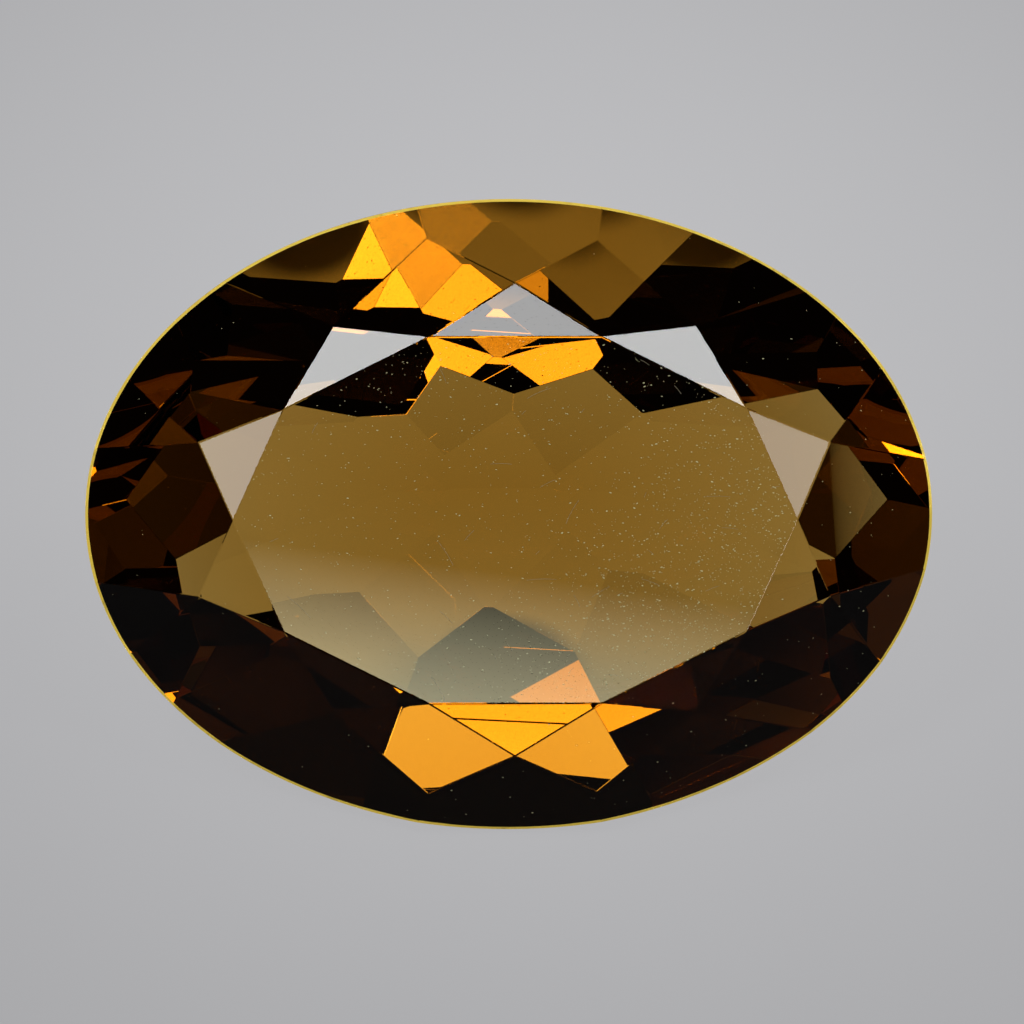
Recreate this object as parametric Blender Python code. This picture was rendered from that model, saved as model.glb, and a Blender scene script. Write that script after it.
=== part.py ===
"""Smoky quartz, cut as an oval gemstone: one solid, lying on the pavilion facet under its lower long side.

The stone is cut the way a lapidary cuts it. A blank with the outline of the girdle is sliced by one plane for each
facet, and what lies outside the plane is taken away. Lengths are in millimetres while the stone is cut, in the
stone's own frame: +X along the oval, +Y across it, +Z out of the table, and the girdle's middle plane at Z = 0. The
finished stone is then scaled to metres and turned to lie on its resting facet.

A facet is known by its tier and by its index, an angle in degrees round the stone from +X. The index is the angle
on the circle that the oval is stretched from, so the ten sectors are 36 degrees wide.
"""
from math import acos, atan2, cos, degrees, hypot, radians, sin, tan

import bmesh
import bpy
from mathutils import Matrix, Vector

NAME = "smoky_quartz_oval"
METRES_PER_MM = 0.001

# Girdle: the outline of the stone.
GIRDLE_LENGTH = 16.1
GIRDLE_WIDTH = 11.98
GIRDLE_THICKNESS = 0.35
GIRDLE_SIDES = 160

# Crown: table, ten stars, ten mains and ten breaks.
CROWN_HEIGHT = 1.86
TABLE_CORNERS = {0: (5.29, 0.0), 36: (4.34, 2.09), 72: (1.62, 3.44)}
STAR_TIPS = {18: (5.94, 1.45, 0.43), 54: (3.41, 3.63, 0.44), 90: (0.0, 4.45, 0.27)}
TABLE_OFFSET = (0.06, -0.02)
MAIN_FOOT_CENTRE = {0: 0.0, 36: 35.0, 72: 79.0}
MAIN_FOOT_HALF_WIDTH = {0: 9.0, 36: 1.0, 72: 4.0}

# Pavilion: ten culet facets that meet in a short keel, ten kites and ten girdle facets.
PAVILION_DEPTH = 5.25
KEEL_HALF_LENGTH = 0.95
CULET_OFFSET = (-0.06, 0.32)
CULET_SLOPE = {18: 29.5, 54: 30.5, 90: 29.0}
CULET_AZIMUTH = {18: 39.0, 54: 52.0, 90: 90.0}
MEETS = {18: (5.40, 1.25), 54: (2.70, 1.55), 90: (0.0, 1.85)}
KITE_SLOPE = {0: 30.0, 36: 35.5, 72: 35.5}
KITE_AZIMUTH_NEAR = {36: 48.0, 72: 76.0}
GIRDLE_FACET_AZIMUTH = {18: 24.0, 54: 67.0, 90: 90.0}
GIRDLE_FACET_LIFT = {18: -0.10, 54: -0.14, 90: 0.22}

# Slips of the cutter's hand: pavilion facets that stray from their tier, as degrees of slope, degrees of azimuth and
# millimetres of stone left on. A strayed facet turns about a point of its own tier, at a share of the stone's reach.
SLIPS = {
    "girdle 54": (-1.0, 0.0, 0.08),
    "girdle 90": (0.0, -3.0, 0.0),
    "girdle 126": (-1.0, 0.0, 0.06),
    "girdle 234": (1.0, 0.0, 0.0),
    "girdle 270": (0.0, 0.0, 0.06),
    "kite 108": (0.0, -8.0, 0.0),
    "kite 216": (0.0, 7.0, 0.0),
    "kite 252": (0.0, 0.0, 0.05),
    "kite 288": (0.0, -5.0, 0.0),
    "culet 270": (0.0, 0.0, -0.05),
}
SLIP_PIVOT = {"girdle": 0.97, "kite": 0.5, "culet": 0.2}

# The stone lies on this pavilion facet.
RESTING_INDEX = 270

# Finish.
COLOUR = (0.36, 0.20, 0.06, 1.0)
ROUGHNESS = 0.03
REFRACTIVE_INDEX = 1.55

# Corners closer than this while cutting, in millimetres, become one.
SNAP = 0.002


class Facet:
    """One flat cut: its name, the unit normal out of the stone, and a point on it."""

    def __init__(self, name, normal, point):
        self.name = name
        self.normal = normal.normalized()
        self.point = point

    def height_at(self, x, y):
        """Return the height of the facet's plane above or below a place in the girdle's plane."""
        along = self.normal.x * (self.point.x - x) + self.normal.y * (self.point.y - y)
        return self.point.z + along / self.normal.z


def quadrants(index):
    """Yield an index and its mirror images as (index, x sign, y sign), each of them once."""
    seen = set()
    for x_sign in (1, -1):
        for y_sign in (1, -1):
            across = index if x_sign > 0 else 180 - index
            mirrored = (across * y_sign) % 360
            if mirrored not in seen:
                seen.add(mirrored)
                yield mirrored, x_sign, y_sign


def all_round(points, offset, height=None):
    """Return the points of one quadrant, {index: (x, y, ...)}, mirrored to all four and moved by an offset."""
    result = {}
    for index, (x, y, *drop) in points.items():
        for mirrored, x_sign, y_sign in quadrants(index):
            z = height - drop[0] if drop else height
            result[mirrored] = Vector((x * x_sign + offset[0], y * y_sign + offset[1], z))
    return result


def facet_through(name, a, b, c, up):
    """Return the facet through three points, facing up or down."""
    normal = (b - a).cross(c - a)
    if (normal.z > 0) != up:
        normal.negate()
    return Facet(name, normal, a)


def facing_down(slope, azimuth):
    """Return the normal of a pavilion facet from its slope and the compass direction that it faces, in degrees."""
    across = sin(radians(slope))
    return Vector((across * cos(radians(azimuth)), across * sin(radians(azimuth)), -cos(radians(slope))))


def girdle_point(index, z):
    """Return a point of the girdle's outline."""
    return Vector((GIRDLE_LENGTH / 2 * cos(radians(index)), GIRDLE_WIDTH / 2 * sin(radians(index)), z))


def girdle_reach(azimuth):
    """Return how far the outline reaches from its centre in a compass direction."""
    return hypot(GIRDLE_LENGTH / 2 * cos(radians(azimuth)), GIRDLE_WIDTH / 2 * sin(radians(azimuth)))


def slipped(facet):
    """Return a facet as the cutter left it, strayed by its slip where it has one."""
    slope, azimuth, left_on = SLIPS.get(facet.name, (0.0, 0.0, 0.0))
    tier = facet.name.split()[0]
    heading = atan2(facet.normal.y, facet.normal.x)
    reach = SLIP_PIVOT[tier] * girdle_reach(degrees(heading))
    pivot = Vector((reach * cos(heading), reach * sin(heading), 0.0))
    pivot.z = facet.height_at(pivot.x, pivot.y)
    normal = facing_down(degrees(acos(-facet.normal.z)) + slope, degrees(heading) + azimuth)
    return Facet(facet.name, normal, pivot + normal * left_on)


def crown_facets():
    """Return the table, stars, mains and breaks."""
    corners = all_round({i: (x, y, 0.0) for i, (x, y) in TABLE_CORNERS.items()}, TABLE_OFFSET, CROWN_HEIGHT)
    tips = all_round(STAR_TIPS, TABLE_OFFSET, CROWN_HEIGHT)
    top = GIRDLE_THICKNESS / 2
    facets = [Facet("table", Vector((0, 0, 1)), Vector((0, 0, CROWN_HEIGHT)))]
    feet = {}
    for index, centre in MAIN_FOOT_CENTRE.items():
        half = MAIN_FOOT_HALF_WIDTH[index]
        for mirrored, x_sign, y_sign in quadrants(index):
            place = (centre if x_sign > 0 else 180 - centre) * y_sign
            feet[mirrored] = (place - half, place + half)
    for main in range(0, 360, 36):
        before, after, star = (main - 18) % 360, main + 18, (main + 36) % 360
        facets.append(facet_through(f"main {main}", corners[main], tips[before], tips[after], up=True))
        facets.append(facet_through(f"star {after}", corners[main], corners[star], tips[after], up=True))
        start = girdle_point(feet[main][1], top)
        end = girdle_point(feet[star][0], top)
        facets.append(facet_through(f"break {after}", tips[after], start, end, up=True))
    return facets


def kite_through(name, slope, near_azimuth, a, b):
    """Return the pavilion facet of a given slope that holds both points, facing as near as it can to an azimuth."""
    run = hypot(b.x - a.x, b.y - a.y)
    heading = degrees(atan2(b.y - a.y, b.x - a.x))
    turn = degrees(acos((b.z - a.z) / (tan(radians(slope)) * run)))
    azimuth = min((heading + turn, heading - turn), key=lambda angle: abs((angle - near_azimuth + 180) % 360 - 180))
    return Facet(name, facing_down(slope, azimuth), a)


def pavilion_facets():
    """Return the culet facets, kites and girdle facets, each tier worked out from the one below it."""
    keel_end = Vector((KEEL_HALF_LENGTH, 0, -PAVILION_DEPTH))
    culet = {i: Facet("", facing_down(CULET_SLOPE[i], CULET_AZIMUTH[i]), keel_end) for i in CULET_SLOPE}
    meets = {i: Vector((x, y, culet[i].height_at(x, y))) for i, (x, y) in MEETS.items()}
    kites = {0: Facet("", facing_down(KITE_SLOPE[0], 0), meets[18])}
    for index, near_azimuth in KITE_AZIMUTH_NEAR.items():
        kites[index] = kite_through("", KITE_SLOPE[index], near_azimuth, meets[index - 18], meets[index + 18])
    offset = Vector((*CULET_OFFSET, 0))
    facets = []
    for tier, quadrant in (("culet", culet), ("kite", kites)):
        for index, facet in quadrant.items():
            for mirrored, x_sign, y_sign in quadrants(index):
                sign = Vector((x_sign, y_sign, 1))
                facets.append(Facet(f"{tier} {mirrored}", facet.normal * sign, facet.point * sign + offset))
    for index, meet in meets.items():
        for mirrored, x_sign, y_sign in quadrants(index):
            apex = meet * Vector((x_sign, y_sign, 1)) + offset
            azimuth = radians(GIRDLE_FACET_AZIMUTH[index])
            heading = Vector((cos(azimuth) * x_sign, sin(azimuth) * y_sign, 0))
            run = girdle_reach(GIRDLE_FACET_AZIMUTH[index]) - heading.dot(apex)
            rise = -GIRDLE_THICKNESS / 2 + GIRDLE_FACET_LIFT[index] - apex.z
            normal = heading * rise - Vector((0, 0, run))
            facets.append(Facet(f"girdle {mirrored}", normal, apex))
    return [slipped(facet) for facet in facets]


def cut_stone(facets):
    """Return a mesh: a blank with the girdle's outline, sliced by every facet."""
    stone = bmesh.new()
    bmesh.ops.create_cone(stone, cap_ends=True, segments=GIRDLE_SIDES, radius1=0.5, radius2=0.5, depth=1.0)
    size = Vector((GIRDLE_LENGTH, GIRDLE_WIDTH, 4 * PAVILION_DEPTH))
    bmesh.ops.scale(stone, vec=size, verts=stone.verts)
    for facet in facets:
        geometry = stone.verts[:] + stone.edges[:] + stone.faces[:]
        cut = bmesh.ops.bisect_plane(
            stone, geom=geometry, dist=SNAP, plane_co=facet.point, plane_no=facet.normal, clear_outer=True
        )
        rim = [item for item in cut["geom_cut"] if isinstance(item, bmesh.types.BMEdge)]
        bmesh.ops.holes_fill(stone, edges=rim)
    bmesh.ops.remove_doubles(stone, verts=stone.verts, dist=SNAP)
    bmesh.ops.recalc_face_normals(stone, faces=stone.faces)
    return stone


def resting_turn(facets):
    """Return the rotation that brings the resting facet under the stone, facing straight down."""
    resting = next(facet for facet in facets if facet.name == f"girdle {RESTING_INDEX}")
    return resting.normal.rotation_difference(Vector((0, 0, -1))).to_matrix().to_4x4()


def lay_down(mesh, turn):
    """Scale the mesh to metres, turn it, and put the middle of its footprint on the origin."""
    mesh.transform(turn @ Matrix.Scale(METRES_PER_MM, 4))
    low = Vector(min(vertex.co[axis] for vertex in mesh.vertices) for axis in range(3))
    high = Vector(max(vertex.co[axis] for vertex in mesh.vertices) for axis in range(3))
    mesh.transform(Matrix.Translation(-Vector(((low.x + high.x) / 2, (low.y + high.y) / 2, low.z))))


def quartz_material():
    """Return the stone's material: clear brown, polished."""
    material = bpy.data.materials.new("smoky_quartz")
    material.use_nodes = True
    shader = material.node_tree.nodes["Principled BSDF"]
    shader.inputs["Base Color"].default_value = COLOUR
    shader.inputs["Roughness"].default_value = ROUGHNESS
    shader.inputs["Metallic"].default_value = 0.0
    shader.inputs["Transmission Weight"].default_value = 1.0
    shader.inputs["IOR"].default_value = REFRACTIVE_INDEX
    material.diffuse_color = COLOUR
    return material


def main():
    for scene_object in list(bpy.data.objects):
        bpy.data.objects.remove(scene_object, do_unlink=True)
    facets = crown_facets() + pavilion_facets()
    mesh = bpy.data.meshes.new(NAME)
    stone = cut_stone(facets)
    stone.to_mesh(mesh)
    stone.free()
    lay_down(mesh, resting_turn(facets))
    mesh.materials.append(quartz_material())
    bpy.context.scene.collection.objects.link(bpy.data.objects.new(NAME, mesh))


main()
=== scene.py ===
"""Looks of a smoky quartz gemstone: its polish and wear, the table it lies on, the lights and the camera.

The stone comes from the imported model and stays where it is. A merged copy of it, with its facet junctions
worn flat by a hundredth of a millimetre, is dressed as clear brown quartz that darkens with depth. Geometry
Nodes scatter dust over the crown and hairline scratches over the table facet. Lengths are in metres, and MM
turns millimetres into them.
"""
import logging
import math
from dataclasses import dataclass, field
from enum import Enum

import bmesh
import bpy
import numpy as np
from mathutils import Matrix, Vector


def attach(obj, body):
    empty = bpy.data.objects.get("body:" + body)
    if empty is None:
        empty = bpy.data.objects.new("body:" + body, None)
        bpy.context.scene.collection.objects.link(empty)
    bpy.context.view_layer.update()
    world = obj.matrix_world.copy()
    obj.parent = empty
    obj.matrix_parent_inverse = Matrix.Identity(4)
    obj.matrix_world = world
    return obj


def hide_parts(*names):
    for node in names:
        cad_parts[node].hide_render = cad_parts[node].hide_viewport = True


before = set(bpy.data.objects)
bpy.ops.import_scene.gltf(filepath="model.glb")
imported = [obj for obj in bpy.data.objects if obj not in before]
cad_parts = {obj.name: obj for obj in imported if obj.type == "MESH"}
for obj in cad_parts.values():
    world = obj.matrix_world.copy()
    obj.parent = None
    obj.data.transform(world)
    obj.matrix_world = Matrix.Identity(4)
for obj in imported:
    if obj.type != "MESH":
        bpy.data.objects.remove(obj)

NODE = "smoky_quartz_oval"
BODY = "root"
MM = 0.001
PICTURE_WIDTH = 1024

# Sines of the angles under which directions are parallel, and under which a face is upright on the girdle.
PARALLEL = 0.01
UPRIGHT = 0.02

log = logging.getLogger("smoky_quartz")


# --------------------------------------------------------------------------------------------------
# Where the stone lies
# --------------------------------------------------------------------------------------------------


def table_facet(facets: bmesh.types.BMesh) -> bmesh.types.BMFace:
    """Return the table, which is the largest facet."""
    return max(facets.faces, key=lambda face: face.calc_area())


@dataclass(frozen=True)
class StoneAxes:
    """The stone's own directions and the middle of its girdle, in the scene.

    Attributes:
        centre: Middle of the girdle.
        along: Unit direction of the oval's long axis, towards +X.
        across: Unit direction of its short axis, upwards.
        out: Unit normal of the table.
    """

    centre: Vector
    along: Vector
    across: Vector
    out: Vector

    @classmethod
    def measure(cls, facets: bmesh.types.BMesh) -> "StoneAxes":
        """Work the axes out from the stone's facets.

        The short edges that run along the table's normal are the girdle's.

        Args:
            facets: The merged stone, one face for each facet.

        Returns:
            The axes of the stone as it lies.
        """
        out = table_facet(facets).normal.copy()
        girdle = []
        for edge in facets.edges:
            start, end = (vertex.co for vertex in edge.verts)
            if (end - start).normalized().cross(out).length < PARALLEL:
                girdle.append((start + end) / 2)
        pairs = ((first, second) for first in girdle for second in girdle)
        ends = max(pairs, key=lambda pair: (pair[0] - pair[1]).length)
        along = (ends[0] - ends[1]).normalized()
        if along.x < 0:
            along.negate()
        along = (along - out * along.dot(out)).normalized()
        across = out.cross(along)
        reach = [(point.dot(along), point.dot(across), point.dot(out)) for point in girdle]
        middle = [(min(column) + max(column)) / 2 for column in zip(*reach)]
        centre = along * middle[0] + across * middle[1] + out * middle[2]
        return cls(centre, along, across, out)

    def place(self, x: float, y: float, z: float) -> Vector:
        """Return the scene point of stone coordinates given in metres."""
        return self.centre + self.along * x + self.across * y + self.out * z


# --------------------------------------------------------------------------------------------------
# Shader and geometry node helpers
# --------------------------------------------------------------------------------------------------


class SocketKind(Enum):
    """Kinds of node group socket that the groups here use."""

    NUMBER = "NodeSocketFloat"
    VECTOR = "NodeSocketVector"
    COLOUR = "NodeSocketColor"
    GEOMETRY = "NodeSocketGeometry"
    MATERIAL = "NodeSocketMaterial"


class NodeTree:
    """A thin wrapper that adds nodes to a tree and links them."""

    def __init__(self, tree: bpy.types.NodeTree) -> None:
        """Wrap a tree.

        Args:
            tree: The node tree to add to.
        """
        self.tree = tree

    def socket(
        self, name: str, kind: SocketKind, output: bool = False, value: float | None = None
    ) -> None:
        """Declare a socket on the group.

        Args:
            name: What the socket is called.
            kind: What it carries.
            output: Whether it is an output.
            value: Its default, where it has one.
        """
        made = self.tree.interface.new_socket(
            name=name, in_out="OUTPUT" if output else "INPUT", socket_type=kind.value
        )
        if value is not None:
            made.default_value = value

    def add(self, kind: str, settings: dict | None = None, **inputs: object) -> bpy.types.Node:
        """Add a node and fill its inputs.

        Args:
            kind: The node's type name.
            settings: Attributes of the node itself.
            inputs: Input values or the sockets to link from, by input name with _ for a space, or by place as
                in0 and in1.

        Returns:
            The new node.
        """
        node = self.tree.nodes.new(kind)
        for name, value in (settings or {}).items():
            setattr(node, name, value)
        for name, value in inputs.items():
            by_place = name[:2] == "in" and name[2:].isdigit()
            socket = node.inputs[int(name[2:]) if by_place else name.replace("_", " ")]
            if isinstance(value, bpy.types.NodeSocket):
                self.tree.links.new(value, socket)
            else:
                socket.default_value = value
        return node

    def math(self, operation: str, a: object, b: object, clamp: bool = False) -> bpy.types.NodeSocket:
        """Return the output of a Math node on two numbers or sockets."""
        settings = {"operation": operation, "use_clamp": clamp}
        return self.add("ShaderNodeMath", settings, in0=a, in1=b).outputs[0]

    def vector(self, operation: str, **inputs: object) -> bpy.types.Node:
        """Return a Vector Math node with its inputs filled."""
        return self.add("ShaderNodeVectorMath", {"operation": operation}, **inputs)

    def remap(
        self, value: bpy.types.NodeSocket, low: float, high: float, to_low: float, to_high: float
    ) -> bpy.types.NodeSocket:
        """Map a value smoothly from one range to another, and hold it at the ends.

        Args:
            value: The value.
            low: Start of its range.
            high: End of its range.
            to_low: What the start becomes.
            to_high: What the end becomes.

        Returns:
            The mapped value.
        """
        node = self.add("ShaderNodeMapRange", {"interpolation_type": "SMOOTHSTEP"}, Value=value)
        limits = {"From Min": low, "From Max": high, "To Min": to_low, "To Max": to_high}
        for name, number in limits.items():
            node.inputs[name].default_value = number
        return node.outputs["Result"]

    def laid_along(
        self, rotation: bpy.types.NodeSocket, along: bpy.types.NodeSocket, sway: float, seed: int
    ) -> bpy.types.NodeSocket:
        """Turn instances about their own Z so that their X lies along a direction, give or take.

        Args:
            rotation: Rotation that stands them on the face.
            along: Direction for their X.
            sway: Greatest angle off it, in radians.
            seed: Seed of the angles.

        Returns:
            The rotation to place them with.
        """
        about_z = {"axis": "X", "pivot_axis": "Z"}
        aligned = self.add("FunctionNodeAlignRotationToVector", about_z, Rotation=rotation)
        self.tree.links.new(along, aligned.inputs["Vector"])
        draw = self.add("FunctionNodeRandomValue", {"data_type": "FLOAT"}, Seed=seed).outputs[1]
        angle = self.math("MULTIPLY", self.math("SUBTRACT", draw, 0.5), 2 * sway)
        turn = self.add("FunctionNodeAxisAngleToRotation", Angle=angle)
        turn.inputs["Axis"].default_value = (0.0, 0.0, 1.0)
        laid = self.add("FunctionNodeRotateRotation", {"rotation_space": "LOCAL"}, in0=aligned.outputs[0])
        self.tree.links.new(turn.outputs[0], laid.inputs[1])
        return laid.outputs[0]


def shader_group(name: str) -> NodeTree:
    """Return an empty shader node group by name, wrapped."""
    return NodeTree(bpy.data.node_groups.new(name, "ShaderNodeTree"))


def polish_group() -> bpy.types.NodeTree:
    """Build the group that gives a hard surface its polishing lines and rubbed patches.

    Returns:
        A group with Line Scale, Rub Scale and Line Depth in, and Rubbed, from 0 to 1, out.
    """
    group = shader_group("polish and rubbing")
    group.socket("Line Scale", SocketKind.NUMBER, value=9000.0)
    group.socket("Rub Scale", SocketKind.NUMBER, value=500.0)
    group.socket("Line Depth", SocketKind.NUMBER, value=0.3)
    group.socket("Rubbed", SocketKind.NUMBER, output=True)
    entry = group.add("NodeGroupInput")
    place = group.add("ShaderNodeTexCoord").outputs["Object"]
    line_turn, line_stretch = (0.4, 0.2, 0.7), (1.0, 0.06, 1.0)
    stretched = group.add("ShaderNodeMapping", Vector=place, Rotation=line_turn, Scale=line_stretch)
    lines = group.add(
        "ShaderNodeTexNoise", Vector=stretched.outputs[0], Scale=entry.outputs["Line Scale"], Detail=2.0
    )
    rub = group.add(
        "ShaderNodeTexNoise", Vector=place, Scale=entry.outputs["Rub Scale"], Detail=4.0, Roughness=0.6
    )
    rubbed_from, scored_from, fully, between_lines = 0.45, 0.62, 0.75, 0.4
    patches = group.remap(rub.outputs["Fac"], rubbed_from, fully, 0.0, 1.0)
    scored = group.remap(lines.outputs["Fac"], scored_from, fully, 0.0, 1.0)
    depth = group.math("MULTIPLY", scored, entry.outputs["Line Depth"])
    rubbed = group.math("MULTIPLY", patches, group.math("ADD", depth, between_lines), clamp=True)
    group.add("NodeGroupOutput", Rubbed=rubbed)
    return group.tree


def mottle_group() -> bpy.types.NodeTree:
    """Build the group that mottles a dry surface such as dust or a table top.

    Returns:
        A group with Scale and Strength in, and Mottle, a factor around one, out.
    """
    group = shader_group("mottle")
    group.socket("Scale", SocketKind.NUMBER, value=100.0)
    group.socket("Strength", SocketKind.NUMBER, value=0.1)
    group.socket("Mottle", SocketKind.NUMBER, output=True)
    entry = group.add("NodeGroupInput")
    place = group.add("ShaderNodeTexCoord").outputs["Object"]
    noise = group.add("ShaderNodeTexNoise", Vector=place, Scale=entry.outputs["Scale"], Detail=5.0)
    centred = group.math("SUBTRACT", noise.outputs["Fac"], 0.5)
    swing = group.math("MULTIPLY", centred, entry.outputs["Strength"])
    group.add("NodeGroupOutput", Mottle=group.math("ADD", swing, 1.0))
    return group.tree


# --------------------------------------------------------------------------------------------------
# Finishes
# --------------------------------------------------------------------------------------------------


def new_material(name: str) -> tuple[NodeTree, bpy.types.Node, bpy.types.Material]:
    """Make an empty material.

    Args:
        name: Its name.

    Returns:
        Its wrapped node tree, its Principled BSDF and the material.
    """
    material = bpy.data.materials.new(name)
    material.use_nodes = True
    return NodeTree(material.node_tree), material.node_tree.nodes["Principled BSDF"], material


@dataclass(frozen=True)
class QuartzFinish:
    """Clear brown quartz that darkens with depth.

    Attributes:
        name: Name of the material.
        wear: Roughness of rubbed patches, where the rest is perfectly smooth.
        line_depth: Depth of the polishing lines, from 0 to 1.
        tint: Colour that light takes at the surface.
        body: Colour that deep stone turns light to.
        density: How fast it does so, per metre.
        refractive_index: How strongly it bends light.
    """

    name: str = "polished_quartz"
    wear: float = 0.02
    line_depth: float = 0.3
    tint: tuple[float, float, float, float] = (0.81, 0.62, 0.27, 1.0)
    body: tuple[float, float, float, float] = (0.843, 0.643, 0.04, 1.0)
    density: float = 300.0
    refractive_index: float = 1.55

    def build(self, polish: bpy.types.NodeTree) -> bpy.types.Material:
        """Make the material.

        Args:
            polish: The shared polish and rubbing group.

        Returns:
            The material.
        """
        nodes, shader, material = new_material(self.name)
        wear = nodes.add("ShaderNodeGroup", {"node_tree": polish}, Line_Depth=self.line_depth)
        rough = nodes.math("MULTIPLY", wear.outputs["Rubbed"], self.wear)
        shader.inputs["Base Color"].default_value = self.tint
        shader.inputs["Metallic"].default_value = 0.0
        shader.inputs["IOR"].default_value = self.refractive_index
        shader.inputs["Transmission Weight"].default_value = 1.0
        nodes.tree.links.new(rough, shader.inputs["Roughness"])
        depth = nodes.add("ShaderNodeVolumeAbsorption", Color=self.body, Density=self.density)
        result = next(node for node in nodes.tree.nodes if node.bl_idname == "ShaderNodeOutputMaterial")
        nodes.tree.links.new(depth.outputs["Volume"], result.inputs["Volume"])
        return material


@dataclass(frozen=True)
class GroundFinish:
    """Quartz that was ground and never polished, frosted brown, with a painted golden glow on the cut at its
    rim.

    Attributes:
        name: Name of the material.
        colour: Its colour on the girdle's wall, which it also gives out as painted glow.
        painted_golden_glow: Painted golden glow on the rim, in place of the light from inside the stone that
            comes out there.
        turn: Cosines of the slants to the table between which the painted golden glow takes over.
        rubbed_shade: Share of its colour left on rubbed patches.
        patch_scale: Fineness of those patches.
        clear: How much light goes through it.
        roughness: Roughness.
        glow: Painted glow that it gives out though it is no lamp, as a share of its colour.
        refractive_index: How strongly it bends light.
    """

    name: str = "ground_quartz"
    colour: tuple[float, float, float] = (0.27, 0.16, 0.045)
    painted_golden_glow: tuple[float, float, float] = (0.78, 0.56, 0.07)
    turn: tuple[float, float] = (0.2, 0.5)
    rubbed_shade: float = 0.7
    patch_scale: float = 2500.0
    clear: float = 0.35
    roughness: float = 0.5
    glow: float = 0.4
    refractive_index: float = 1.55

    def build(self, polish: bpy.types.NodeTree, out: Vector) -> bpy.types.Material:
        """Make the material.

        Args:
            polish: The shared polish and rubbing group.
            out: Direction in which the table faces.

        Returns:
            The material.
        """
        nodes, shader, material = new_material(self.name)
        wear = nodes.add(
            "ShaderNodeGroup", {"node_tree": polish}, Line_Depth=1.0, Rub_Scale=self.patch_scale
        )
        shade = nodes.remap(wear.outputs["Rubbed"], 0.0, 0.5, 1.0, self.rubbed_shade)
        faces = nodes.add("ShaderNodeTexCoord").outputs["Normal"]
        slant = nodes.vector("DOT_PRODUCT", in0=faces, in1=tuple(out))
        # Painted light: faces that slant out at the rim take the painted golden glow colour.
        rim = nodes.remap(slant.outputs["Value"], *self.turn, 0.0, 1.0)
        towards_painted_glow = tuple(gold - plain for gold, plain in zip(self.painted_golden_glow, self.colour))
        hue = nodes.vector("MULTIPLY_ADD", in0=rim, in1=towards_painted_glow, in2=self.colour)
        colour = nodes.vector("SCALE", in0=hue.outputs[0], Scale=shade)
        nodes.tree.links.new(colour.outputs[0], shader.inputs["Base Color"])
        # Painted glow: the girdle gives out its own colour as light, though it is no lamp.
        nodes.tree.links.new(colour.outputs[0], shader.inputs["Emission Color"])
        shader.inputs["Emission Strength"].default_value = self.glow
        shader.inputs["Roughness"].default_value = self.roughness
        shader.inputs["IOR"].default_value = self.refractive_index
        shader.inputs["Transmission Weight"].default_value = self.clear
        return material


@dataclass(frozen=True)
class DryFinish:
    """A pale dry material, such as dust or the chalky floor of a scratch.

    Attributes:
        name: Name of the material.
        colour: Colour in linear light.
        mottle_scale: Fineness of its mottling.
        mottle: Strength of its mottling.
        roughness: Roughness.
    """

    name: str
    colour: tuple[float, float, float]
    mottle_scale: float = 2000.0
    mottle: float = 0.3
    roughness: float = 0.85

    def build(self, mottle: bpy.types.NodeTree) -> bpy.types.Material:
        """Make the material.

        Args:
            mottle: The shared mottling group.

        Returns:
            The material.
        """
        nodes, shader, material = new_material(self.name)
        patches = nodes.add(
            "ShaderNodeGroup", {"node_tree": mottle}, Scale=self.mottle_scale, Strength=self.mottle
        )
        colour = nodes.vector("SCALE", in0=self.colour, Scale=patches.outputs["Mottle"])
        nodes.tree.links.new(colour.outputs[0], shader.inputs["Base Color"])
        shader.inputs["Roughness"].default_value = self.roughness
        return material


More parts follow.
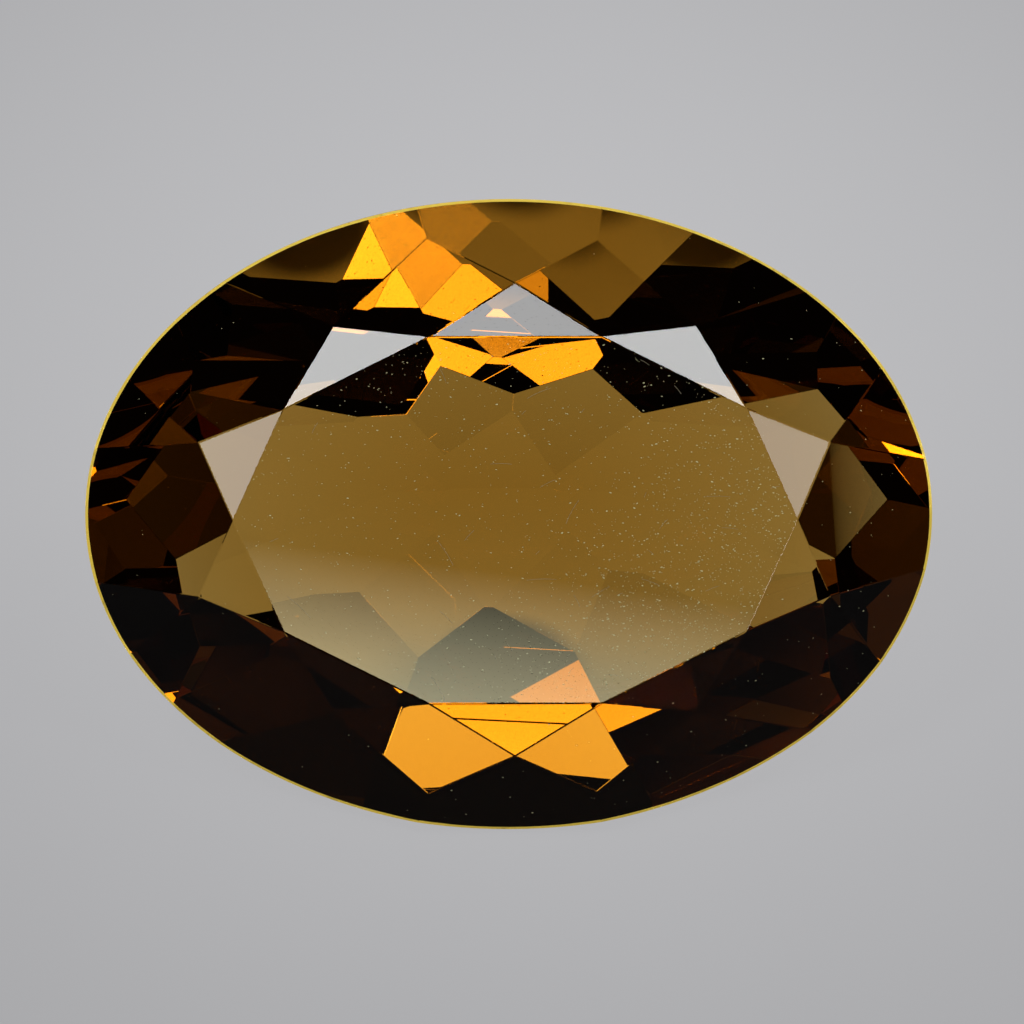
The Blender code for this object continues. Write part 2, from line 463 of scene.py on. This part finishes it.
@dataclass(frozen=True)
class LightTable:
    """The plain pale table top, which glows softly, with painted light brightest around the stone.

    Seen straight on it is pale all over. To the stone it is bright only in a painted pool of light under and
    behind it, with a painted shadow where the stone rests.

    Attributes:
        name: Name of the material.
        colour: Its colour in plain light.
        glow: Radiance at the middle, seen straight on.
        edge_glow: Radiance far from it.
        reach: Distance over which this painted falloff of light runs from one to the other.
        middle: Where it is brightest, from the stone.
        pool_glow: Radiance of the painted pool of light, as the stone sees it.
        dim_glow: Radiance around the pool, as the stone sees it.
        pool: Radius of the pool.
        pool_core: Share of that radius over which the pool is even.
        pool_middle: Middle of the pool.
        shade: Share of the pool's glow left in the painted contact shadow where the stone rests.
        shade_reach: Radii between which that painted contact shadow ends.
        shade_middle: Middle of the painted contact shadow.
        mottle_scale: Fineness of its mottling.
        mottle: Strength of its mottling.
        blue: How much bluer than grey it glows.
        roughness: Roughness.
    """

    name: str = "pale_table_top"
    colour: tuple[float, float, float, float] = (0.01, 0.01, 0.0103, 1.0)
    glow: float = 0.50
    edge_glow: float = 0.36
    reach: float = 26 * MM
    middle: tuple[float, float, float] = (1 * MM, 8 * MM, 0.0)
    pool_glow: float = 0.39
    dim_glow: float = 0.02
    pool: float = 9 * MM
    pool_core: float = 0.6
    pool_middle: tuple[float, float, float] = (0.3 * MM, 6.8 * MM, 0.0)
    shade: float = 0.1
    shade_reach: tuple[float, float] = (1.0 * MM, 1.7 * MM)
    shade_middle: tuple[float, float, float] = (0.0, -0.3 * MM, 0.0)
    mottle_scale: float = 40.0
    mottle: float = 0.06
    blue: float = 1.03
    roughness: float = 0.9

    def build(self, mottle: bpy.types.NodeTree) -> bpy.types.Material:
        """Make the material.

        Args:
            mottle: The shared mottling group.

        Returns:
            The material.
        """
        nodes, shader, material = new_material(self.name)
        place = nodes.add("ShaderNodeTexCoord").outputs["Object"]
        around, off, near = (
            nodes.vector("DISTANCE", in0=place, in1=middle).outputs["Value"]
            for middle in (self.middle, self.pool_middle, self.shade_middle)
        )
        # Painted light: seen straight on, the glow is brightest around the stone and falls off towards the
        # edge.
        seen = nodes.remap(around, 0.0, self.reach, self.glow, self.edge_glow)
        # Painted pool of light that only the stone sees, fading to the dim glow around it.
        painted_pool_light = nodes.remap(off, self.pool_core * self.pool, self.pool, self.pool_glow, self.dim_glow)
        # Painted contact shadow: the pool's glow drops to a small share where the stone rests.
        pool = nodes.math("MULTIPLY", painted_pool_light, nodes.remap(near, *self.shade_reach, self.shade, 1.0))
        straight = nodes.add("ShaderNodeLightPath").outputs["Is Camera Ray"]
        mixed = nodes.add("ShaderNodeMix", {"data_type": "FLOAT"}, Factor=straight, A=pool, B=seen)
        patches = nodes.add(
            "ShaderNodeGroup", {"node_tree": mottle}, Scale=self.mottle_scale, Strength=self.mottle
        )
        level = nodes.math("MULTIPLY", mixed.outputs["Result"], patches.outputs["Mottle"])
        bluer = nodes.math("MULTIPLY", level, self.blue)
        shine = nodes.add("ShaderNodeCombineColor", Red=level, Green=level, Blue=bluer)
        nodes.tree.links.new(shine.outputs["Color"], shader.inputs["Emission Color"])
        shader.inputs["Emission Strength"].default_value = 1.0
        shader.inputs["Base Color"].default_value = self.colour
        shader.inputs["Roughness"].default_value = self.roughness
        return material


# --------------------------------------------------------------------------------------------------
# The stone and what lies on it
# --------------------------------------------------------------------------------------------------


def show(mesh: bpy.types.Mesh, name: str) -> bpy.types.Object:
    """Put a mesh in the scene as an object at the origin.

    Args:
        mesh: The mesh.
        name: Name of the object.

    Returns:
        The object.
    """
    shown = bpy.data.objects.new(name, mesh)
    bpy.context.scene.collection.objects.link(shown)
    return shown


@dataclass(frozen=True)
class EdgeCut:
    """A plane that takes a sliver off the stone along the edge between two facets.

    Attributes:
        point: A point of the plane.
        normal: Its unit normal, away from the stone.
        ground: Whether it leaves a ground surface, not a polished one.
        touch: Distance under which a corner lies on the plane.
    """

    point: Vector
    normal: Vector
    ground: bool
    touch: float = 1e-6 * MM

    def take_off(self, stone: bmesh.types.BMesh) -> None:
        """Cut the stone, which bulges outwards everywhere, and close it with one flat face.

        Args:
            stone: The stone to cut.
        """
        made = bmesh.ops.bisect_plane(
            stone,
            geom=[*stone.verts, *stone.edges, *stone.faces],
            dist=self.touch,
            plane_co=self.point,
            plane_no=self.normal,
            clear_outer=True,
        )
        seam = [item for item in made["geom_cut"] if isinstance(item, bmesh.types.BMEdge)]
        if len(seam) < 3:
            return
        for face in bmesh.ops.contextual_create(stone, geom=seam)["faces"]:
            face.normal_update()
            if face.normal.dot(self.normal) < 0:
                face.normal_flip()
            face.material_index = int(self.ground)


@dataclass
class CutStone:
    """The cut stone: facets that meet in finely worn junctions, and a ground girdle.

    Attributes:
        crown_edge: Reach of the wear on each side of the edges between crown facets.
        pavilion_edge: The same for the sharper pavilion facets.
        rim: Reach of the ground rim over the crown.
        rim_drop: Its reach down the girdle.
        crown_profile: Shares of the reach that each cut of a crown edge takes on either side.
        shallowest: Smallest angle between facets whose edge is worn, in degrees.
        weld: Distance under which the model's loose corners are one.
        flat: Angle under which triangles are one facet, in degrees.
    """

    crown_edge: float = 0.018 * MM
    pavilion_edge: float = 0.005 * MM
    rim: float = 0.065 * MM
    rim_drop: float = 0.012 * MM
    crown_profile: tuple[tuple[float, float], ...] = ((1.0, 0.4), (0.65, 0.65), (0.4, 1.0))
    shallowest: float = 4.0
    weld: float = 0.0005 * MM
    flat: float = 0.05
    facets: bmesh.types.BMesh = field(init=False)
    axes: StoneAxes = field(init=False)

    def __post_init__(self) -> None:
        """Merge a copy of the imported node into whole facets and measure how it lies."""
        self.facets = bmesh.new()
        self.facets.from_mesh(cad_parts[NODE].data)
        bmesh.ops.remove_doubles(self.facets, verts=self.facets.verts, dist=self.weld)
        bmesh.ops.dissolve_limit(
            self.facets,
            angle_limit=math.radians(self.flat),
            verts=self.facets.verts,
            edges=self.facets.edges,
            delimit={"NORMAL"},
        )
        self.axes = StoneAxes.measure(self.facets)

    def build(self, polished: bpy.types.Material, ground: bpy.types.Material) -> bpy.types.Object:
        """Wear the junctions and dress the stone.

        Args:
            polished: Finish of the facets.
            ground: Finish of the girdle.

        Returns:
            The stone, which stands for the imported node.
        """
        stone = self.facets.copy()
        for face in stone.faces:
            face.material_index = int(self._on_girdle(face))
        for cut in self._cuts():
            cut.take_off(stone)
        mesh = bpy.data.meshes.new("cut_stone")
        mesh.materials.append(polished)
        mesh.materials.append(ground)
        for face in stone.faces:
            face.smooth = False
        stone.to_mesh(mesh)
        stone.free()
        return show(mesh, "cut_stone")

    def _on_girdle(self, face: bmesh.types.BMFace) -> bool:
        """Say whether a face stands upright on the girdle."""
        return abs(face.normal.dot(self.axes.out)) < UPRIGHT

    def _on_crown(self, face: bmesh.types.BMFace) -> bool:
        """Say whether a face is one of the crown's, the table among them."""
        return face.normal.dot(self.axes.out) > UPRIGHT

    def _cuts(self) -> list[EdgeCut]:
        """List the cuts that wear the stone's edges.

        Returns:
            The rim's, the crown's and the pavilion's cuts, in the order of the edges.
        """
        cuts = []
        for edge in self.facets.edges:
            first, second = sorted(edge.link_faces, key=lambda face: -face.normal.dot(self.axes.out))
            if self._on_girdle(second) and self._on_crown(first):
                cuts.append(self._cut(edge, first, second, self.rim, self.rim_drop, True))
            elif self._on_girdle(first) or math.degrees(edge.calc_face_angle(0.0)) < self.shallowest:
                continue
            elif self._on_crown(second):
                for near, far in self.crown_profile:
                    reach = near * self.crown_edge, far * self.crown_edge
                    cuts.append(self._cut(edge, first, second, *reach))
            elif not self._on_crown(first):
                cuts.append(self._cut(edge, first, second, self.pavilion_edge, self.pavilion_edge))
        return cuts

    @staticmethod
    def _cut(
        edge: bmesh.types.BMEdge,
        first: bmesh.types.BMFace,
        second: bmesh.types.BMFace,
        near: float,
        far: float,
        ground: bool = False,
    ) -> EdgeCut:
        """Lay a cut along an edge.

        Args:
            edge: The edge.
            first: Facet on one side of it.
            second: Facet on the other side.
            near: How far the cut reaches over the first.
            far: How far it reaches over the second.
            ground: Whether it is ground, not polished.

        Returns:
            The cut.
        """
        start, end = (vertex.co for vertex in edge.verts)
        middle, run = (start + end) / 2, (end - start).normalized()
        ends = []
        for face, reach in ((first, near), (second, far)):
            inwards = face.normal.cross(run)
            if inwards.dot(face.calc_center_median() - middle) < 0:
                inwards.negate()
            ends.append(middle + inwards * reach)
        normal = run.cross(ends[1] - ends[0]).normalized()
        if normal.dot(first.normal + second.normal) < 0:
            normal.negate()
        return EdgeCut(ends[0], normal, ground)

    def patch(self, lift: float, whole_crown: bool = False) -> bpy.types.Object:
        """Return the table facet, or the whole crown, lifted clear of the stone, for other pieces to lie on.

        Args:
            lift: How far to lift it.
            whole_crown: Whether to take the crown's other facets too.

        Returns:
            A temporary object with those faces.
        """
        crown = [face for face in self.facets.faces if self._on_crown(face)]
        faces = crown if whole_crown else [table_facet(self.facets)]
        corners = [vertex.co + face.normal * lift for face in faces for vertex in face.verts]
        ends = np.cumsum([0] + [len(face.verts) for face in faces]).tolist()
        mesh = bpy.data.meshes.new("patch")
        mesh.from_pydata(corners, [], [list(range(start, end)) for start, end in zip(ends, ends[1:])])
        return show(mesh, "patch")


class Scatter:
    """A Geometry Nodes tree that scatters one small shape over a face, used with each piece's own values."""

    def __init__(self, name: str) -> None:
        """Start a tree with the inputs that every scatter has.

        Args:
            name: Name of the tree.
        """
        self.nodes = NodeTree(bpy.data.node_groups.new(name, "GeometryNodeTree"))
        self.nodes.socket("Face", SocketKind.GEOMETRY)
        self.nodes.socket("Spread", SocketKind.GEOMETRY, output=True)

    def identifier(self, name: str) -> str:
        """Return the identifier of a named input."""
        items = self.nodes.tree.interface.items_tree
        return next(item.identifier for item in items if item.name == name and item.in_out == "INPUT")

    def apply(self, patch: bpy.types.Object, name: str, values: dict[str, object]) -> bpy.types.Object:
        """Run the tree on a face and return what it scatters as a plain mesh object.

        Args:
            patch: Object with the face.
            name: Name of the new object.
            values: Input values by input name.

        Returns:
            The scattered pieces, joined in one object at the origin.
        """
        modifier = patch.modifiers.new(name, "NODES")
        modifier.node_group = self.nodes.tree
        for label, value in values.items():
            modifier[self.identifier(label)] = value
        patch.update_tag()
        evaluated = patch.evaluated_get(bpy.context.evaluated_depsgraph_get())
        mesh = bpy.data.meshes.new_from_object(evaluated)
        patch.modifiers.remove(modifier)
        return show(mesh, name)


def speck_scatter() -> Scatter:
    """Build the tree that scatters specks of dust, thicker towards one side.

    Returns:
        The scatter, with inputs for the number, the sizes, the thick side and the material.
    """
    scatter = Scatter("specks")
    nodes = scatter.nodes
    nodes.socket("Per Square Metre", SocketKind.NUMBER, value=1.0e6)
    nodes.socket("Smallest", SocketKind.NUMBER, value=0.005 * MM)
    nodes.socket("Largest", SocketKind.NUMBER, value=0.02 * MM)
    nodes.socket("Middle", SocketKind.VECTOR)
    nodes.socket("Thick Side", SocketKind.VECTOR)
    nodes.socket("Along", SocketKind.VECTOR)
    nodes.socket("Finish", SocketKind.MATERIAL)
    entry = nodes.add("NodeGroupInput")
    place = nodes.add("GeometryNodeInputPosition").outputs[0]
    from_middle = nodes.vector("SUBTRACT", in0=place, in1=entry.outputs["Middle"])
    side = nodes.vector("DOT_PRODUCT", in0=from_middle.outputs[0], in1=entry.outputs["Thick Side"])
    thin_share, thin_until, thick_from = 0.2, 0.5, 3.5
    share = nodes.remap(side.outputs["Value"], thin_until, thick_from, thin_share, 1.0)
    points = nodes.add(
        "GeometryNodeDistributePointsOnFaces",
        {"distribute_method": "RANDOM"},
        Mesh=entry.outputs["Face"],
        Density=entry.outputs["Per Square Metre"],
        Seed=11,
    )
    draw = nodes.add("FunctionNodeRandomValue", {"data_type": "FLOAT"}, Seed=5)
    more = {"data_type": "FLOAT", "operation": "GREATER_THAN"}
    dropped = nodes.add("FunctionNodeCompare", more, in0=draw.outputs[1], in1=share)
    kept = nodes.add(
        "GeometryNodeDeleteGeometry",
        {"domain": "POINT"},
        Geometry=points.outputs["Points"],
        Selection=dropped.outputs[0],
    )
    grain = nodes.add("GeometryNodeMeshIcoSphere", Radius=1.0, Subdivisions=1)
    flat = nodes.add("FunctionNodeRandomValue", {"data_type": "FLOAT_VECTOR"}, Seed=7)
    stubby, long_and_flat = (0.9, 0.5, 0.25), (2.0, 0.9, 0.5)
    flat.inputs[0].default_value = stubby
    flat.inputs[1].default_value = long_and_flat
    chance = nodes.add("FunctionNodeRandomValue", {"data_type": "FLOAT"}, Seed=9)
    mostly_small = 3.0
    skewed = nodes.math("POWER", chance.outputs[1], mostly_small)
    span = nodes.math("SUBTRACT", entry.outputs["Largest"], entry.outputs["Smallest"])
    radius = nodes.math("ADD", entry.outputs["Smallest"], nodes.math("MULTIPLY", span, skewed))
    size = nodes.vector("SCALE", in0=flat.outputs[0], Scale=radius)
    laid = nodes.laid_along(points.outputs["Rotation"], entry.outputs["Along"], sway=0.5, seed=13)
    spread = nodes.add(
        "GeometryNodeInstanceOnPoints",
        Points=kept.outputs[0],
        Instance=grain.outputs["Mesh"],
        Rotation=laid,
        Scale=size.outputs[0],
    )
    real = nodes.add("GeometryNodeRealizeInstances", Geometry=spread.outputs[0])
    dressed = nodes.add("GeometryNodeSetMaterial", Geometry=real.outputs[0], Material=entry.outputs["Finish"])
    nodes.add("NodeGroupOutput", Spread=dressed.outputs[0])
    return scatter


def hairline_scatter() -> Scatter:
    """Build the tree that lays hairline scratches: thin, slightly bent, at random angles.

    Returns:
        The scatter, with inputs for the number, the length, the width and the material.
    """
    scatter = Scatter("hairlines")
    nodes = scatter.nodes
    nodes.socket("Per Square Metre", SocketKind.NUMBER, value=5.0e5)
    nodes.socket("Shortest", SocketKind.NUMBER, value=0.1 * MM)
    nodes.socket("Longest", SocketKind.NUMBER, value=0.6 * MM)
    nodes.socket("Width", SocketKind.NUMBER, value=0.006 * MM)
    nodes.socket("Along", SocketKind.VECTOR)
    nodes.socket("Finish", SocketKind.MATERIAL)
    entry = nodes.add("NodeGroupInput")
    points = nodes.add(
        "GeometryNodeDistributePointsOnFaces",
        {"distribute_method": "RANDOM"},
        Mesh=entry.outputs["Face"],
        Density=entry.outputs["Per Square Metre"],
        Seed=23,
    )
    path = nodes.add("GeometryNodeCurveQuadraticBezier", Resolution=5)
    bend = 0.06
    path.inputs["Start"].default_value = (-0.5, 0.0, 0.0)
    path.inputs["Middle"].default_value = (0.0, bend, 0.0)
    path.inputs["End"].default_value = (0.5, 0.0, 0.0)
    chance = nodes.add("FunctionNodeRandomValue", {"data_type": "FLOAT"}, Seed=29)
    mostly_short = 2.5
    skewed = nodes.math("POWER", chance.outputs[1], mostly_short)
    span = nodes.math("SUBTRACT", entry.outputs["Longest"], entry.outputs["Shortest"])
    length = nodes.math("ADD", entry.outputs["Shortest"], nodes.math("MULTIPLY", span, skewed))
    laid = nodes.laid_along(points.outputs["Rotation"], entry.outputs["Along"], sway=1.2, seed=31)
    paths = nodes.add(
        "GeometryNodeInstanceOnPoints",
        Points=points.outputs["Points"],
        Instance=path.outputs[0],
        Rotation=laid,
        Scale=nodes.add("ShaderNodeCombineXYZ", in0=length, in1=length, in2=length).outputs[0],
    )
    real = nodes.add("GeometryNodeRealizeInstances", Geometry=paths.outputs[0])
    radius = nodes.math("MULTIPLY", entry.outputs["Width"], 0.5)
    section = nodes.add("GeometryNodeCurvePrimitiveCircle", Resolution=4, Radius=radius)
    lines = nodes.add(
        "GeometryNodeCurveToMesh", Curve=real.outputs[0], Profile_Curve=section.outputs[0], Fill_Caps=True
    )
    finish = entry.outputs["Finish"]
    dressed = nodes.add("GeometryNodeSetMaterial", Geometry=lines.outputs[0], Material=finish)
    nodes.add("NodeGroupOutput", Spread=dressed.outputs[0])
    return scatter


@dataclass
class Handling:
    """What handling left on the stone: dust, thickest at one end of the table, and hairline scratches.

    Attributes:
        specks: Specks on each square millimetre of the table's thick side.
        strays: Specks on each square millimetre of the rest of the crown.
        hairlines: Scratches on each square millimetre of the table.
        smallest: Radius of the smallest speck.
        largest: Radius of the largest speck.
        lift: How far their middles stand above the facet.
        thick_side: Where on the table the dust is thickest, along and across the oval.
    """

    specks: float = 125.0
    strays: float = 3.0
    hairlines: float = 0.6
    smallest: float = 0.005 * MM
    largest: float = 0.015 * MM
    lift: float = 0.002 * MM
    thick_side: tuple[float, float] = (0.8, -0.6)

    def build(
        self, stone: CutStone, dust: bpy.types.Material, scratch: bpy.types.Material
    ) -> list[bpy.types.Object]:
        """Scatter them over the crown.

        Args:
            stone: The stone that carries them.
            dust: Finish of the specks.
            scratch: Finish of the scratches.

        Returns:
            The table's specks, the crown's, and the scratches.
        """
        table, crown = stone.patch(self.lift), stone.patch(self.lift, whole_crown=True)
        axes = stone.axes
        thick_side = axes.along * self.thick_side[0] + axes.across * self.thick_side[1]
        grain = {
            "Smallest": self.smallest,
            "Largest": self.largest,
            "Middle": tuple(axes.centre),
            "Thick Side": tuple(thick_side / MM),
        }
        specks, hairlines = speck_scatter(), hairline_scatter()
        pieces = []
        for scatter, patch, name, count, finish, sizes in (
            (specks, table, "table_dust", self.specks, dust, grain),
            (specks, crown, "crown_dust", self.strays, dust, grain),
            (hairlines, table, "table_hairlines", self.hairlines, scratch, {}),
        ):
            values = {"Per Square Metre": count / MM**2, "Along": tuple(axes.along), "Finish": finish}
            pieces.append(scatter.apply(patch, name, values | sizes))
        for patch in (table, crown):
            bpy.data.objects.remove(patch)
        return pieces


# --------------------------------------------------------------------------------------------------
# Studio
# --------------------------------------------------------------------------------------------------


@dataclass
class Studio:
    """The table top and the dim room around it.

    Attributes:
        reach: Radius of the table top.
        gap: Hair's breadth between it and the stone.
        sides: Sides of the table top's outline.
        horizon: Brightness of the room at table height.
        ceiling: Brightness of the room overhead.
        ceiling_from: Sine of the height at which the ceiling starts.
    """

    reach: float = 1.5
    gap: float = 0.02 * MM
    sides: int = 96
    horizon: float = 0.025
    ceiling: float = 0.05
    ceiling_from: float = 0.7

    def table_top(self, material: bpy.types.Material) -> bpy.types.Object:
        """Lay the round table top under the stone.

        Args:
            material: Its finish.

        Returns:
            The table top.
        """
        disc = bmesh.new()
        lowered = Matrix.Translation((0.0, 0.0, -self.gap))
        bmesh.ops.create_circle(
            disc, cap_ends=True, segments=self.sides, radius=self.reach, matrix=lowered
        )
        mesh = bpy.data.meshes.new("table_top")
        disc.to_mesh(mesh)
        disc.free()
        mesh.materials.append(material)
        return show(mesh, "table_top")

    def room(self) -> None:
        """Light the world dimly, a little paler overhead than near the horizon."""
        world = bpy.data.worlds.new("room")
        world.use_nodes = True
        bpy.context.scene.world = world
        nodes = NodeTree(world.node_tree)
        backdrop = next(node for node in nodes.tree.nodes if node.bl_idname == "ShaderNodeBackground")
        way = nodes.add("ShaderNodeTexCoord").outputs["Generated"]
        height = nodes.add("ShaderNodeSeparateXYZ", Vector=way).outputs["Z"]
        level = nodes.remap(height, 0.0, self.ceiling_from, self.horizon, self.ceiling)
        nodes.tree.links.new(level, backdrop.inputs["Strength"])


@dataclass(frozen=True)
class SoftBox:
    """A flat soft light that faces the stone.

    Attributes:
        name: Name of the light.
        azimuth: Direction from the stone, in degrees from +X towards +Y.
        elevation: Height above the table as seen from the stone, in degrees.
        width: Size across.
        height: Size up and down.
        radiance: Brightness of its face.
        colour: Colour of its light.
        distance: Distance from the stone.
    """

    name: str
    azimuth: float
    elevation: float
    width: float
    height: float
    radiance: float
    colour: tuple[float, float, float] = (1.0, 1.0, 1.0)
    distance: float = 300 * MM

    def build(self, aim: Vector) -> bpy.types.Object:
        """Hang the light.

        Args:
            aim: Point that it faces.

        Returns:
            The light.
        """
        data = bpy.data.lights.new(self.name, "AREA")
        data.shape = "RECTANGLE"
        data.size = self.width
        data.size_y = self.height
        data.energy = self.radiance * math.pi * self.width * self.height
        data.color = self.colour
        light = bpy.data.objects.new(self.name, data)
        bpy.context.scene.collection.objects.link(light)
        light.matrix_world = self.facing(aim)
        light.visible_camera = False
        return light

    def facing(self, aim: Vector) -> Matrix:
        """Work out where the light hangs: at its distance, square to the point that it faces.

        Args:
            aim: That point.

        Returns:
            Its placement.
        """
        turn, rise = math.radians(self.azimuth), math.radians(self.elevation)
        level = math.cos(rise)
        back = Vector((math.cos(turn) * level, math.sin(turn) * level, math.sin(rise)))
        facing = back.to_track_quat("Z", "Y").to_matrix().to_4x4()
        return Matrix.Translation(aim + back * self.distance) @ facing


@dataclass(frozen=True)
class SoftCard:
    """A glowing card that fades out towards its top edge, for a soft sheen on the table facet.

    Attributes:
        box: Its direction, size, radiance, colour and distance.
        fade: Height over which it fades.
        tilt: Turn in its own plane, in degrees. Below zero its left end is higher.
    """

    box: SoftBox
    fade: float
    tilt: float

    def build(self, aim: Vector) -> bpy.types.Object:
        """Stand the card up.

        Args:
            aim: Point that it faces.

        Returns:
            The card, unseen by the camera itself.
        """
        box = self.box
        facing = box.facing(aim) @ Matrix.Rotation(math.radians(self.tilt), 4, "Z")
        half, low, high = box.width / 2, -box.height / 2, box.height / 2
        rows = (low, high - self.fade, high)
        mesh = bpy.data.meshes.new(box.name)
        corners = [facing @ Vector((x, y, 0.0)) for y in rows for x in (-half, half)]
        mesh.from_pydata(corners, [], [(0, 1, 3, 2), (2, 3, 5, 4)])
        rise = mesh.attributes.new("fade", "FLOAT", "POINT")
        rise.data.foreach_set("value", (1.0, 1.0, 1.0, 1.0, 0.0, 0.0))
        nodes, shader, material = new_material(box.name)
        level = nodes.add("ShaderNodeAttribute", {"attribute_name": "fade"}).outputs["Fac"]
        shader.inputs["Base Color"].default_value = (0.0, 0.0, 0.0, 1.0)
        shader.inputs["Specular IOR Level"].default_value = 0.0
        shader.inputs["Emission Color"].default_value = (*box.colour, 1.0)
        nodes.tree.links.new(nodes.math("MULTIPLY", level, box.radiance), shader.inputs["Emission Strength"])
        mesh.materials.append(material)
        card = show(mesh, box.name)
        card.visible_camera = False
        return card


LIGHTS = (
    SoftBox("overhead", -92.0, 74.0, 0.095, 0.025, 8.0),
    SoftBox("right_high", 1.0, 66.0, 0.085, 0.065, 11.0),
    SoftBox("left_high", -172.0, 65.0, 0.095, 0.095, 11.0),
    SoftBox("right_upper", -62.0, 42.0, 0.050, 0.025, 6.0),
    SoftBox("right_lower", -61.0, 32.0, 0.050, 0.035, 6.0),
    SoftBox("right_tip", -49.0, 34.5, 0.020, 0.020, 12.0),
    SoftBox("table_left", -72.0, 22.0, 0.025, 0.030, 5.0),
    SoftBox("table_right", -108.0, 25.0, 0.030, 0.025, 4.5),
    SoftBox("low_right", -90.0, 22.2, 0.052, 0.015, 4.5),
    SoftBox("low_left", -99.7, 24.0, 0.020, 0.020, 1.8),
    SoftBox("low_middle", -93.5, 27.5, 0.021, 0.017, 4.5),
    SoftBox("low_top", -94.0, 37.7, 0.021, 0.008, 4.5),
    SoftBox("front_high", -96.0, 53.0, 0.040, 0.030, 6.0),
    SoftBox("corner", -123.0, 18.0, 0.025, 0.030, 4.0),
    SoftBox("left_front", -151.0, 44.0, 0.040, 0.040, 5.0),
    SoftBox("right_star", -31.0, 45.0, 0.040, 0.050, 4.0),
    SoftBox("rear_high", 90.0, 66.0, 0.095, 0.025, 2.2),
    SoftBox("left_side", -163.5, 35.0, 0.023, 0.023, 7.0),
)
CARD = SoftCard(
    SoftBox("front_card", -88.0, 41.2, 0.024, 0.007, 6.5, colour=(1.0, 0.94, 0.6), distance=150 * MM),
    fade=5.5 * MM,
    tilt=-9.0,
)


@dataclass(frozen=True)
class StudioCamera:
    """A long lens that looks almost straight at the table of the stone.

    Attributes:
        distance: Distance from the middle of the girdle.
        lean: How far the view leans from the table's normal, along and across the oval.
        view_width: Width of the view at the girdle.
        stone_pixel: Where the middle of the girdle falls in the picture.
        clip: Nearest and farthest that it sees.
    """

    distance: float = 130 * MM
    lean: tuple[float, float] = (-0.03, 0.05)
    view_width: float = 19.49 * MM
    stone_pixel: tuple[float, float] = (509.0, 514.0)
    clip: tuple[float, float] = (1 * MM, 10.0)

    def build(self, axes: StoneAxes) -> bpy.types.Object:
        """Set the camera up.

        Args:
            axes: The stone's directions.

        Returns:
            The camera, which is also the scene's.
        """
        back = (axes.out + axes.along * self.lean[0] + axes.across * self.lean[1]).normalized()
        right = axes.across.cross(back).normalized()
        data = bpy.data.cameras.new("studio_camera")
        data.lens = data.sensor_width * self.distance / self.view_width
        data.shift_x = (PICTURE_WIDTH / 2 - self.stone_pixel[0]) / PICTURE_WIDTH
        data.shift_y = (self.stone_pixel[1] - PICTURE_WIDTH / 2) / PICTURE_WIDTH
        data.clip_start, data.clip_end = self.clip
        camera = bpy.data.objects.new("studio_camera", data)
        bpy.context.scene.collection.objects.link(camera)
        turn = Matrix((right, back.cross(right), back)).transposed().to_4x4()
        camera.matrix_world = Matrix.Translation(axes.centre + back * self.distance) @ turn
        bpy.context.scene.camera = camera
        return camera


def main() -> None:
    """Dress the stone, light it and set the camera."""
    logging.basicConfig(level=logging.INFO, format="%(name)s: %(message)s")
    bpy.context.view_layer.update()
    polish, mottle = polish_group(), mottle_group()
    stone = CutStone()
    polished = QuartzFinish().build(polish)
    ground = GroundFinish().build(polish, stone.axes.out)
    body = stone.build(polished, ground)
    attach(body, BODY)
    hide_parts(NODE)
    log.info("%s: %d faces", body.name, len(body.data.polygons))

    dust = DryFinish("table_dust", colour=(0.62, 0.62, 0.36)).build(mottle)
    scratch = DryFinish("hairline_scratch", colour=(0.3, 0.28, 0.2)).build(mottle)
    for piece in Handling().build(stone, dust, scratch):
        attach(piece, BODY)
        log.info("%s: %d faces", piece.name, len(piece.data.polygons))

    studio = Studio()
    top = studio.table_top(LightTable().build(mottle))
    studio.room()
    for light in LIGHTS:
        light.build(stone.axes.centre)
    CARD.build(stone.axes.centre)
    StudioCamera().build(stone.axes)
    bpy.context.scene.view_settings.view_transform = "Standard"
    log.info("studio: %d lights", len(LIGHTS))


if __name__ == "__main__":
    main()
